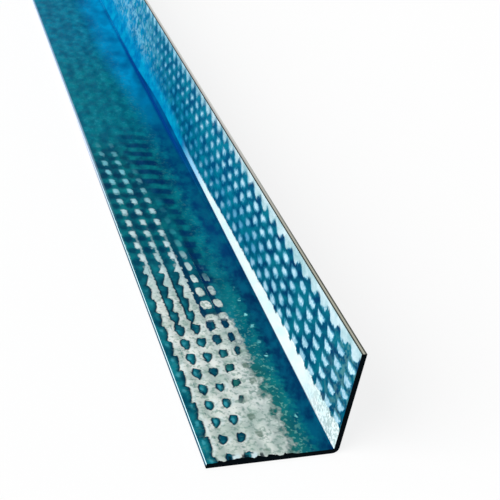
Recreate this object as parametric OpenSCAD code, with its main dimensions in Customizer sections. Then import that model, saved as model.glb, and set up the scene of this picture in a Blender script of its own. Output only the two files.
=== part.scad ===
// Wall angle: one galvanised steel strip rolled into an L, for the edge of a ceiling or a wall lining.
// It lies on its lower leg, with its length along Y, its heel on the +X side and its upright leg
// standing there. The origin is under the middle of the lower leg.
// The rolled pips are fine relief on both legs and aren't drawn here: the faces are the strip's own.

/* [Section] */
// Width of the lower leg, outside, from its slit edge to the heel
lower_leg = 25; // [19:0.5:40]
// Height of the upright leg, outside, from the heel to its slit edge
upright_leg = 23; // [19:0.5:40]
// Thickness of the strip
sheet_t = 1; // [0.5:0.1:1.5]
// Inside radius of the rolled heel
bend_r = 0.2; // [0.1:0.1:1.5]

/* [Stock] */
// Length that the angle is sold in
stock_length = 3000; // [2000:50:3600]

/* [Hidden] */
heel_r = bend_r + sheet_t;
$fn = 64;

// A block with its corner at the origin rounded
module round_cornered(width, height, corner_r) {
    translate([corner_r, 0]) square([width - corner_r, height]);
    translate([0, corner_r]) square([width, height - corner_r]);
    translate([corner_r, corner_r]) circle(r = corner_r);
}

// The section, with its heel at the origin and its legs along +X and +Y: what is left of the outer
// form when the inner one, a sheet's thickness in and round the same centre, is taken out of it
module section() {
    difference() {
        round_cornered(lower_leg, upright_leg, heel_r);
        translate([sheet_t, sheet_t]) round_cornered(lower_leg, upright_leg, bend_r);
    }
}

module wall_angle() {
    color("cadetblue")
        rotate([90, 0, 0])
            linear_extrude(height = stock_length, center = true)
                translate([lower_leg / 2, 0])
                    mirror([1, 0])
                        section();
}

wall_angle();
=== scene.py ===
import math
import bpy
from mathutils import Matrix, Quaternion, Vector


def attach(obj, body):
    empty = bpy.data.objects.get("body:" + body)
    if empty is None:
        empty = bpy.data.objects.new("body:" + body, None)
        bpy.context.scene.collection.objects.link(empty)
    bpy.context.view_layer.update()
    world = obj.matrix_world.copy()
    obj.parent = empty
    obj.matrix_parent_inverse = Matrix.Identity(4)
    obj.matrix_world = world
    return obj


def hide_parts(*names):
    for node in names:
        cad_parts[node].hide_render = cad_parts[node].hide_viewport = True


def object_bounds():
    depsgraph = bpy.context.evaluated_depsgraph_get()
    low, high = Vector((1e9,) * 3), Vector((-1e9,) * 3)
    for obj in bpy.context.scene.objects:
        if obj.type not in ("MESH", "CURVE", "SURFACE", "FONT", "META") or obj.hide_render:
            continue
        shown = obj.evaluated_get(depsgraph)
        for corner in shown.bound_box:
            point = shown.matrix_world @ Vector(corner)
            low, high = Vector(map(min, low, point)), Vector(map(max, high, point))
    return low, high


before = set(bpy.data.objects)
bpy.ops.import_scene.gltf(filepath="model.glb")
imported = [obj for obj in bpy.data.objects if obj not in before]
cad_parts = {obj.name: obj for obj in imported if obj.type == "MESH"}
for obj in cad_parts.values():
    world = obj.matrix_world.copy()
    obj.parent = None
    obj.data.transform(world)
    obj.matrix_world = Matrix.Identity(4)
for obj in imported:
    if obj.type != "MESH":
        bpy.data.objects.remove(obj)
cad_low, cad_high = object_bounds()

# Camera: held low over the near cut end, looking along the angle and down into its corner, and rolled a
# little. Its place and its aim are given in mm from the foot of the near cut, under the middle of the leg.
MM = 0.001
near_end, far_end = cad_low.y, cad_high.y
near_foot = Vector((0, near_end, 0))
camera_place = Vector((-62.3, -110.5, 122.25)) * MM + near_foot
camera_aim = Vector((16.84, 64.9, 0)) * MM + near_foot
camera_roll = math.radians(11.34)
camera = bpy.data.objects.new("camera", bpy.data.cameras.new("camera"))
camera.data.sensor_width = 36
camera.data.lens = 70.56
camera.data.clip_start = 0.005
camera.rotation_mode = "QUATERNION"
camera.location = camera_place
towards = (camera_aim - camera_place).to_track_quat("-Z", "Y")
camera.rotation_quaternion = towards @ Quaternion((0, 0, 1), camera_roll)
bpy.context.scene.collection.objects.link(camera)
bpy.context.scene.camera = camera

# The angle: one strip of galvanised steel sheet. A pair of rollers presses rows of small pips into it, and
# the strip is then rolled into an L with a plain band left along the bend, and sheared to length.
sheet = 1.0 * MM
bend_inside = 0.2 * MM
bend_outside = bend_inside + sheet
heel_x = cad_high.x
lower_width = cad_high.x - cad_low.x
upright_height = cad_high.z
stock_length = far_end - near_end

# The pips stand in rows across the strip. Each leg has columns of its own, measured from the heel, and the
# pips get lower towards the slit edges and the cut ends.
row_pitch = 4.6 * MM
first_row = 5.3 * MM
pip_height = 0.2 * MM
lower_pitch = 3.42 * MM
lower_first = 11.86 * MM
upright_pitch = 2.9 * MM
upright_first = 5.96 * MM
edge_fade = 2.0 * MM
end_fade = 1.8 * MM


class Field:
    """A number that changes over the piece: what a node puts out, with plain arithmetic on it."""

    def __init__(self, tree, socket):
        self.tree = tree
        self.socket = socket

    def maths(self, operation, *others):
        node = self.tree.nodes.new("ShaderNodeMath")
        node.operation = operation
        for place, value in zip(node.inputs, (self, *others)):
            feed(self.tree, place, value)
        return Field(self.tree, node.outputs[0])

    def __add__(self, other):
        return self.maths("ADD", other)

    def __sub__(self, other):
        return self.maths("SUBTRACT", other)

    def __rsub__(self, other):
        return self * -1.0 + other

    def __neg__(self):
        return self * -1.0

    def __mul__(self, other):
        return self.maths("MULTIPLY", other)

    def __truediv__(self, other):
        return self.maths("DIVIDE", other)

    def __pow__(self, other):
        return self.maths("POWER", other)

    def __abs__(self):
        return self.maths("ABSOLUTE")

    def at_least(self, limit):
        """The number, or the limit where the number is under it."""
        return self.maths("MAXIMUM", limit)

    def at_most(self, limit):
        """The number, or the limit where the number is over it."""
        return self.maths("MINIMUM", limit)

    def over(self, limit):
        """1 where the number is over the limit, and otherwise 0."""
        return self.maths("GREATER_THAN", limit)

    def rise(self, low, high, start=0.0, end=1.0):
        """A smooth step: start where the number is under low, and end where it is over high."""
        node = self.tree.nodes.new("ShaderNodeMapRange")
        node.interpolation_type = "SMOOTHSTEP"
        step = {"Value": self, "From Min": low, "From Max": high, "To Min": start, "To Max": end}
        for name, value in step.items():
            feed(self.tree, node.inputs[name], value)
        return Field(self.tree, node.outputs["Result"])

    def fall(self, low, high):
        """A smooth step down: 1 where the number is under low, and 0 where it is over high."""
        return self.rise(low, high, 1.0, 0.0)

    def pick(self, first, second):
        """The first value where the number is 0, the second where it is 1, and a mix in between."""
        node = self.tree.nodes.new("ShaderNodeMix")
        feed(self.tree, node.inputs["Factor"], self)
        feed(self.tree, node.inputs["A"], first)
        feed(self.tree, node.inputs["B"], second)
        return Field(self.tree, node.outputs["Result"])

    def wave(self):
        """1 at each whole number, 0 halfway between them."""
        return ((self * math.tau).maths("COSINE") + 1.0) * 0.5


def feed(tree, socket, value):
    """Link a field or a node's socket into an input, or set the input to a plain value."""
    if isinstance(value, Field):
        tree.links.new(value.socket, socket)
    elif isinstance(value, bpy.types.NodeSocket):
        tree.links.new(value, socket)
    else:
        socket.default_value = value


def apart(tree, vector):
    """The three parts of a vector socket as fields."""
    node = tree.nodes.new("ShaderNodeSeparateXYZ")
    tree.links.new(vector, node.inputs[0])
    return [Field(tree, socket) for socket in node.outputs]


def section_points(samples):
    """The section's outline as (x, z): the inner faces from slit edge to slit edge, and then the outside."""

    def across_leg(first, pitch, width):
        """Distances from the heel over one leg: three on the plain band, then some for each column."""
        start = first - pitch / 2
        steps = math.ceil((width - start) / pitch * samples)
        plain = [bend_outside + (start - bend_outside) * k / 3 for k in range(3)]
        return plain + [start + (width - start) * k / steps for k in range(steps + 1)]

    lower = across_leg(lower_first, lower_pitch, lower_width)
    upright = across_leg(upright_first, upright_pitch, upright_height)
    middle = heel_x - bend_outside
    quarter = [math.pi / 2 * k / 4 for k in range(1, 4)]
    inner = [(middle + bend_inside * math.sin(a), bend_outside - bend_inside * math.cos(a))
             for a in quarter]
    outer = [(middle + bend_outside * math.cos(a), bend_outside - bend_outside * math.sin(a))
             for a in quarter]
    outline = [(heel_x - d, sheet) for d in reversed(lower)]
    outline += inner + [(heel_x - sheet, d) for d in upright]
    outline += [(heel_x, d) for d in reversed(upright)]
    outline += outer + [(heel_x - d, 0) for d in lower]
    return outline


def section_object(name, samples):
    """The outline as a ring of edges. The sweep turns its second axis down, so z goes in with a minus."""
    points = section_points(samples)
    mesh = bpy.data.meshes.new(name)
    ring = [(k, (k + 1) % len(points)) for k in range(len(points))]
    mesh.from_pydata([(x, -z, 0) for x, z in points], ring, [])
    section = bpy.data.objects.new(name, mesh)
    bpy.context.scene.collection.objects.link(section)
    return section


def on_upright(x, z):
    """1 on the upright leg and 0 on the lower one: the line between them runs through the bend."""
    return (x + z).over(heel_x)


def lower_row(along):
    """How many rows a point of the lower leg is from the first row of hollows, from its mm along."""
    # The rows aren't quite even: they drift by up to a quarter of a row
    drift = along.rise(5.0, 36.0, 0.0, 0.17) - along.rise(50.0, 115.0, 0.0, 0.26)
    drift = drift + along.rise(130.0, 220.0, 0.0, 0.09)
    return (along - first_row / MM) / (row_pitch / MM) + drift


def upright_row(along, height):
    """The same for the rows of pips on the upright, which lean along the length as they go up."""
    level_at, lean_until, lean_rate = 13.4, 62.0, 0.0014
    lean = along.at_most(lean_until) * along.rise(130.0, 230.0, lean_rate, 0.0) * (level_at - height)
    return (along - 2.0) / (row_pitch / MM) + lean - along.rise(60.0, 105.0, 0.0, 0.217)


# The section is swept along the length, and each pip moves both faces of the sheet: up on the inside of the
# angle, and hollow behind.
strip = bpy.data.node_groups.new("rolled strip", "GeometryNodeTree")
strip_inputs = {"Section": "Object", "Start": "Float", "End": "Float", "Stations": "Int",
                "Pip height": "Float", "Material": "Material"}
for label, kind in strip_inputs.items():
    strip.interface.new_socket(label, in_out="INPUT", socket_type="NodeSocket" + kind)
strip.interface.new_socket("Mesh", in_out="OUTPUT", socket_type="NodeSocketGeometry")
given = strip.nodes.new("NodeGroupInput")
info = strip.nodes.new("GeometryNodeObjectInfo")
feed(strip, info.inputs["Object"], given.outputs["Section"])
outline = strip.nodes.new("GeometryNodeMeshToCurve")
feed(strip, outline.inputs["Mesh"], info.outputs["Geometry"])
run = strip.nodes.new("GeometryNodeCurvePrimitiveLine")
for label in ("Start", "End"):
    place = strip.nodes.new("ShaderNodeCombineXYZ")
    feed(strip, place.inputs["Y"], given.outputs[label])
    feed(strip, run.inputs[label], place.outputs[0])
stations = strip.nodes.new("GeometryNodeResampleCurve")
feed(strip, stations.inputs["Curve"], run.outputs[0])
feed(strip, stations.inputs["Count"], given.outputs["Stations"])
sweep = strip.nodes.new("GeometryNodeCurveToMesh")
feed(strip, sweep.inputs["Curve"], stations.outputs[0])
feed(strip, sweep.inputs["Profile Curve"], outline.outputs[0])
sweep.inputs["Fill Caps"].default_value = True

x, y, z = apart(strip, strip.nodes.new("GeometryNodeInputPosition").outputs[0])
along = (y - near_end) / MM
from_heel = heel_x - x
standing = on_upright(x, z)
at_ends = y.rise(near_end, near_end + end_fade) * y.fall(far_end - end_fade, far_end)
lower_rows = (lower_row(along) - 0.5).wave() * at_ends
upright_rows = upright_row(along, z / MM).wave() * at_ends
presses = []
for distance, row, first, pitch, width in ((from_heel, lower_rows, lower_first, lower_pitch, lower_width),
                                           (z, upright_rows, upright_first, upright_pitch, upright_height)):
    column = ((distance - first) / pitch).wave()
    banded = distance.over(first - pitch / 2)
    faded = distance.fall(width - edge_fade, width)
    presses.append(column * row * banded * faded * Field(strip, given.outputs["Pip height"]))
lower_press, upright_press = presses
push = strip.nodes.new("ShaderNodeCombineXYZ")
feed(strip, push.inputs["X"], -(upright_press * standing))
feed(strip, push.inputs["Z"], lower_press * (1.0 - standing))
pressed = strip.nodes.new("GeometryNodeSetPosition")
feed(strip, pressed.inputs["Geometry"], sweep.outputs[0])
feed(strip, pressed.inputs["Offset"], push.outputs[0])
whole = strip.nodes.new("GeometryNodeRealizeInstances")
feed(strip, whole.inputs[0], pressed.outputs[0])
coated = strip.nodes.new("GeometryNodeSetMaterial")
feed(strip, coated.inputs["Geometry"], whole.outputs[0])
feed(strip, coated.inputs["Material"], given.outputs["Material"])
feed(strip, strip.nodes.new("NodeGroupOutput").inputs[0], coated.outputs[0])

# The finish: blue-green steel with painted reflections and painted shade on it. Pale grey-white patches
# beside the pips are painted reflections of the bright surroundings, and dark blue hollows beside the pips
# are painted dark reflections. Places are in mm: along from the near cut, depth from the heel across the
# lower leg, and height from the floor. A mask runs from 0 to 1, and its ramps are in those mm too.
steel = bpy.data.materials.new("galvanised steel")
steel.use_nodes = True
paint = steel.node_tree
shader = paint.nodes["Principled BSDF"]


def colour(mask, first, second):
    """A mix of two colours, each a colour socket or (red, green, blue) as it should show, from 0 to 255."""
    node = paint.nodes.new("ShaderNodeMix")
    node.data_type = "RGBA"
    feed(paint, node.inputs["Factor"], mask)
    for place, value in ((6, first), (7, second)):
        if isinstance(value, tuple):
            linear = [((c / 255 + 0.055) / 1.055) ** 2.4 if c > 10 else c / 255 / 12.92 for c in value]
            value = (*linear, 1)
        feed(paint, node.inputs[place], value)
    return node.outputs[2]


def grain(vector, size, detail, low, high):
    """Noise with patches of a given size in metres, stretched so that it runs from low to high."""
    node = paint.nodes.new("ShaderNodeTexNoise")
    feed(paint, node.inputs["Vector"], vector)
    node.inputs["Scale"].default_value = 1 / size
    node.inputs["Detail"].default_value = detail
    return Field(paint, node.outputs["Fac"]).rise(0.3, 0.7, low, high)


def dome(lengthwise, near, far, crosswise, low, high, power=2.0):
    """How far out a point is in a lopsided dome: 0 in its middle, 1 at its edge. A high power is squarer."""
    one_way = (lengthwise / far).at_least(-(lengthwise / near))
    other_way = (crosswise / high).at_least(-(crosswise / low))
    return (one_way ** power + other_way ** power) ** (1.0 / power)


def centred(number, shift):
    """A number of rows or columns as its distance from the nearest whole one, from -0.5 to 0.5."""
    return (number - shift + 0.5).maths("FRACT") - 0.5


def off_row(share):
    """Mm along from the nearest mark: each row of hollows has one, a share of a row past its start."""
    return centred(turn, share) * row_mm


# Grains and streaks. The streaks run slantwise along the length, as the rollers drew the film out.
streak_way, streak_stretch = Vector((0.35, 1, -0.6)), 3.3
position = paint.nodes.new("ShaderNodeTexCoord").outputs["Object"]
drawn = paint.nodes.new("ShaderNodeMapping")
drawn.vector_type = "TEXTURE"
drawn.inputs["Rotation"].default_value = streak_way.to_track_quat("Y", "Z").to_euler()
drawn.inputs["Scale"].default_value = (1, streak_stretch, 1)
feed(paint, drawn.inputs["Vector"], position)
fleck = grain(position, 1.1 * MM, 2.0, -1.0, 1.0)
grit = grain(position, 0.6 * MM, 1.0, -1.0, 1.0)
patch = grain(position, 3.5 * MM, 2.0, 0.0, 1.0)
streak = grain(drawn.outputs["Vector"], 2.4 * MM, 3.0, 0.0, 1.0)
cloud = grain(drawn.outputs["Vector"], 7.0 * MM, 2.0, 0.0, 1.0)

# Places in mm. The painted reflections and shade change from zone to zone along the length, and a zone is
# the distance from the near cut. From 225 to 400 mm they go over to one steady look for all the rest, the
# one that 78 mm has.
zones_end, steady_from, steady_zone = 225.0, 400.0, 78.0
x, y, z = apart(paint, position)
upright = on_upright(x, z)
along = (y - near_end) / MM
depth = (heel_x - x) / MM
height = z / MM
zone = along.rise(zones_end, steady_from).pick(along, steady_zone)
row_mm = row_pitch / MM
lower_column_mm = lower_pitch / MM
upright_column_mm = upright_pitch / MM

# Hollows of the lower leg: painted dark reflections beside the pips, drawn as hollows. Each has a flat side
# towards the slit edge, and is steeper towards the far end.
# They start small by the near cut and grow along the length, and those of the two inner columns are squarer.
# Here turn counts the rows along the length, columns counts the columns in from the slit edge, and above is
# how far a point lies from the flat side of its hollow towards the bend.
first_flat_side, lag_from, lag_rate = 21.25, 17.0, 0.15
lag = (lag_from - depth).at_least(0.0) * lag_rate
turn = lower_row(along - lag) - zone.rise(20.0, 60.0, 0.11, 0.0) + fleck * 0.045
past_row = turn.maths("FRACT") * row_mm
columns = (first_flat_side - depth + fleck * 0.13) / lower_column_mm
above = ((columns + 0.15).maths("FRACT") - 0.15) * lower_column_mm
innermost = depth.fall(11.3, 11.7)
inner = depth.fall(14.8, 15.0)
outer_two = depth.rise(18.25, 18.45)
outermost = depth.rise(21.78, 21.86)
near_reach = zone.rise(3.0, 30.0, 2.0, 2.8) + zone.rise(30.0, 48.0, 0.0, 3.7)
near_reach = near_reach + outer_two * zone.rise(3.0, 25.0, 0.15, 1.0) * zone.fall(36.0, 46.0)
near_reach = outermost.pick(near_reach, near_reach.at_least(6.0))
near_reach = inner.pick(near_reach, zone.rise(14.0, 38.0, 1.2, 2.3))
near_power = inner.pick(zone.rise(20.0, 50.0, 2.6, 1.4), 6.0)
far_reach = zone.rise(20.0, 50.0, 0.85, 1.5)
far_power = inner.pick(2.2, 6.0)
tall = outermost.pick(zone.rise(6.0, 40.0, 1.75, 2.1) + zone.rise(48.0, 64.0, 0.0, 1.1),
                      zone.rise(48.0, 64.0, 1.85, 2.9))
tall = inner.pick(tall, (zone - innermost * 11.0).rise(10.0, 20.0) * innermost.pick(1.95, 1.5))

# A painted hollow is the larger of a steep part and a slope, cut off along its flat side, which the
# outermost ones don't have, because their painted dark reflection runs out over the slit edge. Both brim and
# within are how far inside the outline a point lies, brim without the flat side and within with it.
steep = (1.0 - (past_row / far_reach) ** far_power).at_least(-3.0)
slope = (1.0 - ((row_mm - past_row) / near_reach) ** near_power).at_least(-3.0)
brim = steep.maths("SMOOTH_MAX", slope, outermost.pick(0.35, 0.6)) * tall - above
flat_side = above + outermost * 9.0 + 0.11
from_middle = off_row(-0.13)
flat_side = flat_side - from_middle * from_middle * zone.rise(30.0, 46.0, 0.26, 0.0)
within = brim.maths("SMOOTH_MIN", flat_side, 0.5)
dark_reflection_mask = within.rise(-0.16, 0.16) * tall.rise(0.2, 1.2)

# Spots of the lower leg: painted highlights on the pips. Further along, the pale painted reflection closes
# up into round cells, with the dark film round them. Their columns end one after the other, and till 76 mm
# thin pale ribbons, painted reflections too, join the spots of a column.
innermost_spots = depth.fall(10.8, 11.2)
outer_spots = depth.rise(14.0, 14.3)
spotted = outer_spots.pick(zone.rise(37.5, 41.5), zone.rise(54.0, 66.0))
inner_beside = depth.rise(11.08, 11.12, 9.8, 12.6) - depth
beside = depth.over(14.1).pick(inner_beside, centred(columns, 0.745) * lower_column_mm)
lengthwise = off_row(inner.pick(0.52, zone.rise(40.0, 60.0, 0.4, 0.5)))
squat = zone.fall(36.0, 56.0) * (1.0 - outer_spots)
spot_half = zone.rise(58.0, 74.0, 1.6, 1.22) - squat * 0.15 + fleck * 0.1
wider = squat * innermost_spots.pick(0.72, 0.42)
crosswise = beside + lengthwise * 0.08 + fleck * squat * 0.12
cell_edge = dome(lengthwise, spot_half, spot_half - 0.2, crosswise, wider + 0.64, wider + 0.58, 3.0)
lasting = depth.rise(16.8, 17.2).pick(zone.fall(80.0, 106.0), zone.fall(98.0, 119.0))
lasting = depth.rise(13.6, 14.0).pick(zone.rise(52.0, 68.0, 1.0, 0.35) * zone.fall(68.0, 90.0), lasting)
lasting = innermost_spots.pick(lasting, zone.fall(46.0, 60.0))
spots = ((cell_edge - 1.0) / zone.rise(52.0, 72.0, 0.12, 0.45)).fall(-1.0, 1.0) * lasting
ribbon = abs(centred(columns, 0.87)).fall(0.02, 0.13) * zone.rise(60.0, 76.0, 0.8, 0.0)
spots = spots.at_least(ribbon * depth.over(14.35))
border = (depth + fleck * 0.6 + streak * 2.2).rise(8.9, 10.9)
# Where the pale painted reflection shows on the lower leg.
pale = spotted.pick(1.0 - dark_reflection_mask, spots) * border

# The film on the lower leg: a plain strip by the bend, dark blue with painted shade near the cut and bright
# blue further on, and teal painted dark reflections in the hollows.
from_bend = depth + fleck * 0.8
near_strip = colour(streak, (0, 38, 76), (2, 80, 108))
near_strip = colour(from_bend.rise(3.2, 6.0), near_strip, colour(streak, (1, 82, 102), (8, 116, 122)))
middle_strip = colour(streak, (0, 62, 104), (4, 112, 132))
middle_strip = colour(from_bend.rise(3.2, 6.0, 0.5, 0.0), middle_strip, (0, 50, 96))
far_strip = colour(cloud, (0, 92, 138), (0, 146, 192))
far_strip = colour(streak.rise(0.4, 1.0, 0.0, 0.55), far_strip, (1, 112, 158))
bend_strip = colour(zone.rise(42.0, 70.0), near_strip, middle_strip)
bend_strip = colour(zone.rise(100.0, 165.0), bend_strip, far_strip)
# Inside each hollow: the teal of the painted dark reflection, with a small painted highlight in it.
dark_reflection = colour(patch, (2, 70, 90), (20, 122, 134))
hollow_highlight = dome(off_row(-0.12), 0.9, 0.8, above - 0.6, 0.5, 0.6).fall(0.3, 1.0)
dark_reflection = colour(hollow_highlight * zone.rise(26.0, 50.0, 0.7, 0.2) * patch.rise(0.1, 0.7), dark_reflection, (64, 160, 176))
dark_reflection = colour(inner * zone.rise(18.0, 36.0, 0.8, 0.0), dark_reflection, (34, 100, 88))
dark_reflection = colour(zone.rise(52.0, 66.0), dark_reflection, colour(streak, (0, 68, 92), (8, 116, 124)))
far_leg = colour(streak, (0, 90, 114), (4, 117, 132))
far_leg = colour(zone.rise(150.0, 190.0), far_leg, colour(streak, (0, 92, 122), (6, 120, 146)))
sparse = (grit + fleck).rise(0.35, 1.4) * streak.rise(0.4, 0.8, 0.0, 0.3)
far_leg = colour(sparse, far_leg, (40, 144, 166))
leg_film = colour(zone.rise(104.0, 124.0), dark_reflection, far_leg)
strip_width = zone.rise(130.0, 175.0, 6.5, 9.0)
ground = colour((depth + fleck * 0.6 - strip_width).rise(-2.5, 3.5), bend_strip, leg_film)

# Painted shade on the film: dark rims round the hollows, between the spots, and a straight dark lane in each
# row.
rim_shade = within.fall(0.15, 0.62).at_least(brim.fall(0.2, 1.0) * 0.8) * border
rim_shade = rim_shade * zone.rise(50.0, 62.0, 0.95, 0.0) * inner.pick(1.0, zone.rise(38.0, 43.0, 1.0, 0.3))
ground = colour(rim_shade, ground, (0, 32, 54))
between_shade = dome(off_row(0.13), 1.7, 1.5, above - 1.0, 1.3, 1.3).fall(0.35, 1.25)
between_shade = between_shade * depth.rise(14.0, 15.0) * zone.rise(54.0, 64.0) * zone.rise(98.0, 122.0, 0.8, 0.0)
groove_shade = above.fall(0.9, 1.6) * above.rise(-0.3, 0.1) * inner * depth.rise(9.3, 9.9)
between_shade = between_shade.at_least(groove_shade * zone.rise(24.0, 38.0) * zone.rise(56.0, 84.0, 0.9, 0.0))
ground = colour(between_shade, ground, (0, 44, 76))
lane_shade = (lower_row(along) - 0.455 - (depth - 9.9) * 0.02).wave().rise(0.15, 0.8)
lane_end = zone.rise(78.0, 100.0, 11.4, 15.5)
lane_shade = lane_shade * (depth + fleck * 0.3).rise(7.8, 9.2) * (lane_end - depth).rise(-2.0, 2.0)
ground = colour(lane_shade * zone.rise(40.0, 56.0) * zone.rise(106.0, 134.0, 0.8, 0.0), ground, (0, 40, 88))

# Bright specks on the film, and by the near cut a short glint in each row near the bend.
speck = (grit + fleck * 0.5).rise(0.3, 1.3) * depth.rise(4.2, 7.0) * zone.rise(20.0, 50.0, 0.75, 0.12)
ground = colour(speck * border.rise(0.0, 1.0, 1.0, 0.2), ground, (104, 164, 156))
glint_place = depth + centred(turn, 0.35) * 1.6 + fleck * 0.2
glint = glint_place.rise(4.5, 4.9) * glint_place.fall(5.1, 5.6) * (turn - 0.35).wave().rise(0.6, 0.95)
glint = glint * zone.fall(48.0, 60.0) * (fleck + 0.3).rise(0.0, 0.8) * cloud.rise(0.3, 0.6)
ground = colour(glint, ground, (124, 204, 206))

# The pale grey-white painted reflection of the bright surroundings on the lower leg: mottled, with faint
# painted dark reflections in the inner columns, a painted highlight along the brim of each outer hollow, and
# tinted by the film as the spots fade.
pale_reflection = colour(patch, (174, 190, 182), (222, 226, 220))
pale_reflection = colour((fleck + grit * 0.7).rise(-0.3, 1.4) * 0.8, pale_reflection, (124, 152, 142))
inner_dark_reflection = dome(from_middle, 1.0, 1.0, above - 0.9, 0.8, 0.8, 4.0).fall(0.6, 1.1)
inner_dark_reflection = inner_dark_reflection * (zone - innermost * 14.0).rise(12.0, 18.0, 0.8, 0.0)
inner_dark_reflection = inner_dark_reflection * (zone + innermost.pick(3.0, -12.0)).rise(2.0, 6.0)
inner_dark_reflection = inner_dark_reflection * inner * (fleck + 1.4).rise(0.0, 0.8, 0.4, 1.0)
pale_reflection = colour(inner_dark_reflection, pale_reflection, (86, 114, 100))
lit = (brim + 0.75).rise(-0.3, 0.25) * (brim + 0.3).fall(0.0, 0.3)
lit = lit * above.rise(1.0, 1.8) * (1.0 - inner)
pale_reflection = colour(lit * zone.rise(20.0, 44.0, 0.4, 0.2) * patch.rise(0.0, 0.7, 0.3, 1.0), pale_reflection, (212, 228, 230))
pale_reflection = colour(zone.rise(42.0, 66.0), pale_reflection, colour(patch, (168, 202, 206), (204, 222, 224)))
inner_faded = (zone + innermost_spots * 10.0).rise(56.0, 72.0) * depth.fall(13.6, 14.0)
pale_reflection = colour(inner_faded, pale_reflection, (60, 160, 170))
pale_reflection = colour(zone.rise(72.0, 100.0, 0.0, 0.85), pale_reflection, (104, 186, 202))
lower_colour = colour(pale, ground, pale_reflection)

# Where the shear cut passes through a row of hollows: painted shadows along the near cut, each with a
# painted highlight beside it.
cut_shadow_and_glint = zone.fall(0.9, 1.6) * (depth + fleck * 0.3).rise(13.8, 14.2) * depth.fall(20.6, 21.0)
lower_colour = colour(cut_shadow_and_glint * above.rise(0.7, 1.1, 0.9, 0.0), lower_colour, (4, 22, 34))
lower_colour = colour(cut_shadow_and_glint * above.rise(1.0, 1.4) * above.fall(2.2, 2.8), lower_colour, (206, 226, 230))

# Painted highlights on the pips of the upright leg: bright mounds by the near cut, and slanting ovals
# further on, some of them weaker.
# Here rung counts the pips of a row up the leg, and luck is a random number of its own for each pip.
first_rung = 6.75
upright_turn = upright_row(along, height) + fleck * 0.04
rung = (height - first_rung - zone.rise(20.0, 90.0, 0.0, 0.6) + fleck * 0.1) / upright_column_mm
pip = paint.nodes.new("ShaderNodeCombineXYZ")
feed(paint, pip.inputs["X"], (upright_turn + 0.5).maths("FLOOR"))
feed(paint, pip.inputs["Y"], (rung + 0.5).maths("FLOOR"))
lot = paint.nodes.new("ShaderNodeTexWhiteNoise")
feed(paint, lot.inputs["Vector"], pip.outputs["Vector"])
luck = Field(paint, lot.outputs["Value"])
pip_along = centred(upright_turn, 0.0) * row_mm
pip_up = centred(rung, 0.0) * upright_column_mm
square = pip_along * pip_along
mound = (0.6 - pip_up).at_most(pip_up + 0.85 - square * square * 0.2 + fleck * 0.2) + grit * 0.12
tilted = pip_up + pip_along * zone.rise(16.0, 70.0, 0.0, 0.36) + fleck * 0.12
oval = 0.7 - dome(pip_along, luck * 0.25 + 1.45, 1.55, tilted, 0.82, 0.78) * 0.7
pip_highlight = zone.rise(14.0, 34.0).pick(mound, oval)
weak = height.rise(8.2, 9.2, 0.62, 0.22) + height.rise(11.4, 12.4, 0.0, 0.24)
weak = weak + height.rise(14.4, 15.2, 0.0, 0.54)
weak = weak * height.rise(14.4, 15.2).pick(zone.rise(84.0, 108.0, 1.0, 0.15), 1.0)
strong = zone.rise(32.0, 56.0).pick(1.0, weak) * zone.rise(92.0, 124.0, 1.0, 0.6) * (luck * 0.35 + 0.65)
far_strong = zone.rise(125.0, 160.0, 1.0, height.rise(10.0, 14.0, 0.5, 1.3))
strong = strong * zone.rise(60.0, 80.0, 0.95, 0.85) * far_strong

# The film on the upright leg, from dark blue to a bright cloudy blue with a painted sheen, and each pip's
# painted highlight on it, a halo round a core.
upright_film = colour(streak, (0, 50, 90), (4, 100, 120))
upright_film = colour(zone.rise(36.0, 80.0), upright_film, colour(streak, (0, 68, 108), (2, 110, 136)))
far_film = colour(cloud, (0, 98, 146), (6, 140, 188))
far_film = colour(patch.rise(0.5, 0.9, 0.0, 0.6) * height.rise(8.0, 14.0), far_film, (4, 128, 140))
sheen = (streak * 1.6 - 0.8 + fleck * 0.7 + grit * 0.3).rise(-0.35, 0.75)
far_film = colour(sheen * height.rise(5.0, 12.0, 0.14, 0.75), far_film, (116, 180, 204))
upright_film = colour((zone - height * 1.7).rise(98.0, 152.0), upright_film, far_film)
scuffed = zone.rise(1.0, 14.0, 0.5, 0.0) * fleck.rise(-0.6, 0.8)
upright_film = colour(scuffed, upright_film, (96, 150, 148))
highlight_halo = colour(strong, (6, 108, 146), (70, 150, 176))
highlight_halo = colour(zone.rise(112.0, 150.0), highlight_halo, (24, 124, 164))
highlight_core = colour(strong, (14, 130, 172), (190, 222, 236))
highlight_core = colour(zone.rise(120.0, 160.0) * height.rise(8.0, 13.0), highlight_core, (150, 196, 218))
highlight_core = colour(grit.rise(-0.5, 0.8, 0.35, 0.0) * zone.rise(20.0, 50.0, 1.0, 0.3), highlight_core, (110, 160, 172))
softer = zone.rise(50.0, 110.0, 0.0, 0.25)
marked = zone.rise(112.0, 165.0, 1.0, height.rise(10.0, 14.0, 0.1, 0.3))
upright_colour = colour((pip_highlight - softer * 0.2).rise(-0.35, 0.25) * marked, upright_film, highlight_halo)
upright_colour = colour((pip_highlight - softer * 0.4).rise(-0.05, 0.5) * marked, upright_colour, highlight_core)

# Along the upright's top edge the film ends in scallops, one for each row, under a pale painted highlight.
scallop = upright_turn.wave() * zone.rise(45.0, 75.0, 1.2, 1.5) + fleck * 0.25
top = (height - zone.rise(45.0, 75.0, 21.7, 22.75) + scallop) / zone.rise(40.0, 80.0, 0.45, 1.1)
top_highlight = colour(patch, (142, 180, 188), (190, 212, 220))
top_highlight = colour(zone.rise(60.0, 140.0), top_highlight, colour(streak, (60, 136, 162), (150, 196, 216)))
upright_colour = colour(top.rise(-1.0, 1.0), upright_colour, top_highlight)

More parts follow.
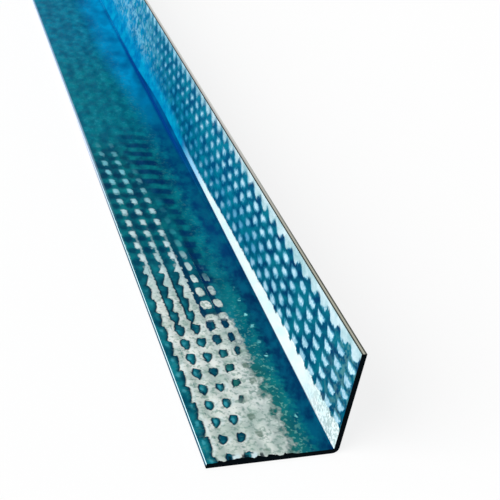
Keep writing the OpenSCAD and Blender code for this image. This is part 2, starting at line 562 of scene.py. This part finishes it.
# The upright's plain band by the bend: a nearly white painted reflection, with teeth by the near cut, and
# blue from 110 mm on.
band_reflection = colour(streak, (226, 252, 254), (246, 255, 255))
mottle = zone.rise(4.0, 19.0, 0.7, 0.0) * (grit + fleck * 0.5 + patch).rise(-0.3, 1.2)
band_reflection = colour(mottle, band_reflection, (150, 178, 176))
band_reflection = colour(zone.rise(83.0, 98.0), band_reflection, (156, 218, 250))
band_reflection = colour(zone.rise(97.0, 110.0), band_reflection, colour(streak, (0, 118, 174), (4, 158, 198)))
teeth = (upright_turn.wave() + fleck * 0.2).rise(0.0, 0.5, 5.2, 6.1)
band_top = zone.rise(30.0, 54.0).pick(teeth, zone.rise(52.0, 96.0, 5.45, 4.6))
band_top = band_top + zone.rise(98.0, 128.0, 0.0, 3.0)
band_blur = zone.rise(92.0, 130.0, 0.28, 2.4)
band = ((height - band_top + fleck * 0.2) / band_blur).fall(-1.0, 1.0)
upright_colour = colour(band, upright_colour, band_reflection)

# Under the band lies a seam of the bend's own film, in the colours of the lower leg's strip by the bend with
# its painted shade. It widens over 130 mm, and is gone 50 mm further on.
seam = (height - 0.9 - zone * 0.02 + zone.rise(128.0, 180.0, 0.0, 3.4)).fall(-0.15, 0.25)
seam_film = colour(cloud, (0, 62, 118), (2, 98, 152))
seam_film = colour(zone.rise(84.0, 112.0), bend_strip, seam_film)
seam_film = colour(zone.rise(150.0, 200.0), seam_film, far_strip)
upright_colour = colour(seam * zone.rise(210.0, 260.0, 1.0, 0.4), upright_colour, seam_film)

# The bend has a painted shade in its crease from about 100 mm on. The slit edges carry painted highlights,
# with a painted dark line along the upright's, and the sheared ends are painted nearly black as shade, which
# reaches a little onto the faces by the cut.
edge_skin = 0.03
# A pale painted highlight along the lower leg's slit edge, from 70 mm on.
edge_highlight = depth.rise(24.35, 24.75) * zone.rise(70.0, 130.0, 0.0, 0.8)
lower_colour = colour(edge_highlight, lower_colour, (168, 192, 214))
skin = colour(upright, lower_colour, upright_colour)
crease_shade = depth.at_least(height).fall(1.1, 2.3) * zone.rise(92.0, 120.0) * zone.rise(165.0, 215.0, 1.0, 0.35)
skin = colour(crease_shade, skin, (0, 60, 126))
lower_slit = colour(height.rise(0.6, 0.8), (8, 70, 92), (205, 238, 245))
lower_slit = colour(zone.rise(60.0, 140.0), lower_slit, (196, 204, 224))
skin = colour(depth.over(lower_width / MM - edge_skin), skin, lower_slit)
upright_slit = colour(zone.rise(20.0, 90.0), (172, 172, 158), (184, 180, 178))
upright_slit = colour(depth.rise(0.66, 0.74), upright_slit, (60, 68, 62))
outer_line = colour(zone.rise(20.0, 90.0), (80, 82, 74), (206, 208, 202))
upright_slit = colour(depth.fall(0.3, 0.36), upright_slit, outer_line)
skin = colour(height.over(upright_height / MM - edge_skin), skin, upright_slit)
from_end = along.at_most(stock_length / MM - along)
ragged = depth.rise(8.0, 10.0, 0.0, 0.3) * (fleck + 0.9)
skin = colour((from_end - ragged).fall(0.02, 0.12), skin, (3, 8, 12))
feed(paint, shader.inputs["Base Color"], skin)
# Metallic is a little higher where the pale painted reflections and highlights lie.
painted_bright = upright.pick(pale, pip_highlight.rise(0.0, 0.4).at_least(band))
feed(paint, shader.inputs["Metallic"], painted_bright.rise(0.0, 1.0, 0.02, 0.15))
shader.inputs["Roughness"].default_value = 0.38
shader.inputs["Specular IOR Level"].default_value = 0.01
shader.inputs["Specular Tint"].default_value = (0.0, 0.5, 0.65, 1)

sockets = {item.name: item.identifier for item in strip.interface.items_tree if item.in_out == "INPUT"}


def rolled_length(name, section, start_y, end_y, samples):
    """One stretch of the swept strip as a plain mesh, with its own closed ends."""
    piece = bpy.data.objects.new(name, bpy.data.meshes.new(name))
    bpy.context.scene.collection.objects.link(piece)
    modifier = piece.modifiers.new("rolled strip", "NODES")
    modifier.node_group = strip
    modifier[sockets["Section"]] = section
    modifier[sockets["Start"]] = start_y
    modifier[sockets["End"]] = end_y
    modifier[sockets["Stations"]] = round((end_y - start_y) / row_pitch * samples) + 1
    modifier[sockets["Pip height"]] = pip_height
    modifier[sockets["Material"]] = steel
    ready = piece.evaluated_get(bpy.context.evaluated_depsgraph_get())
    mesh = bpy.data.meshes.new_from_object(ready)
    piece.modifiers.clear()
    piece.data = mesh
    mesh.set_sharp_from_angle(angle=math.radians(40))
    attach(piece, "root")
    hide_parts("wall_angle")


# The one strip is swept in four stretches that meet end to end, because its pips have too many faces for
# one mesh. A pip is 8 faces long and 8 wide in the near stretch, and 4 by 4 in the other three.
near_rows, near_samples = 51, 8
far_rows, far_samples = 203, 4
near_stop = near_end + first_row + near_rows * row_pitch
fine = section_object("section_fine", near_samples)
rolled_length("wall_angle_near", fine, near_end, near_stop, near_samples)
stops = [near_stop + k * far_rows * row_pitch for k in range(3)] + [far_end]
coarse = section_object("section_coarse", far_samples)
for number, (start_y, end_y) in enumerate(zip(stops, stops[1:]), 1):
    rolled_length(f"wall_angle_far_{number}", coarse, start_y, end_y, far_samples)
for section in (fine, coarse):
    bpy.data.objects.remove(section)

# Floor: a plain matt floor in studio white. The camera and reflections see it nearly white, and it still
# keeps the soft shadow of the angle that lies on it.
floor_mesh = bpy.data.meshes.new("floor")
floor_half = 6
sides = (-floor_half, floor_half)
corners = [(x, y, 0) for y in sides for x in sides]
floor_mesh.from_pydata(corners, [], [(0, 1, 3, 2)])
floor = bpy.data.objects.new("floor", floor_mesh)
bpy.context.scene.collection.objects.link(floor)
floor_paint = bpy.data.materials.new("floor")
floor_paint.use_nodes = True
floor_nodes = floor_paint.node_tree
floor_shader = floor_nodes.nodes["Principled BSDF"]
floor_shader.inputs["Base Color"].default_value = (0.94, 0.94, 0.94, 1)
floor_shader.inputs["Roughness"].default_value = 1
floor_shader.inputs["Specular IOR Level"].default_value = 0


def seen_rays(tree):
    """1 for a ray from the camera, a reflection or clear glass, and 0 for one that only gathers light."""
    path = tree.nodes.new("ShaderNodeLightPath")
    seen = Field(tree, path.outputs["Is Camera Ray"])
    for ray in ("Is Glossy Ray", "Is Transmission Ray"):
        seen = seen.at_least(Field(tree, path.outputs[ray]))
    return seen


white = floor_nodes.nodes.new("ShaderNodeEmission")
both = floor_nodes.nodes.new("ShaderNodeMixShader")
white_share = 0.8
feed(floor_nodes, both.inputs[0], seen_rays(floor_nodes) * white_share)
feed(floor_nodes, both.inputs[1], floor_shader.outputs[0])
feed(floor_nodes, both.inputs[2], white.outputs[0])
feed(floor_nodes, floor_nodes.nodes["Material Output"].inputs["Surface"], both.outputs[0])
floor_mesh.materials.append(floor_paint)

# Light: white surroundings that light the angle softly from all sides, and a wide soft lamp on the left that
# gives its faces and pips some shade.
world = bpy.data.worlds.new("studio")
bpy.context.scene.world = world
world.use_nodes = True
sky = world.node_tree
sky_light = 0.45
background = sky.nodes["Background"]
background.inputs["Color"].default_value = (1, 1, 1, 1)
feed(sky, background.inputs["Strength"], seen_rays(sky).pick(sky_light, 1.0))
lamp = bpy.data.lights.new("key", "SUN")
lamp.energy = 3.3
lamp.angle = math.radians(50)
key = bpy.data.objects.new("key", lamp)
key.rotation_mode = "QUATERNION"
key.rotation_quaternion = Vector((0.8, 0.2, -0.55)).to_track_quat("-Z", "Y")
bpy.context.scene.collection.objects.link(key)

bpy.context.scene.view_settings.view_transform = "Standard"
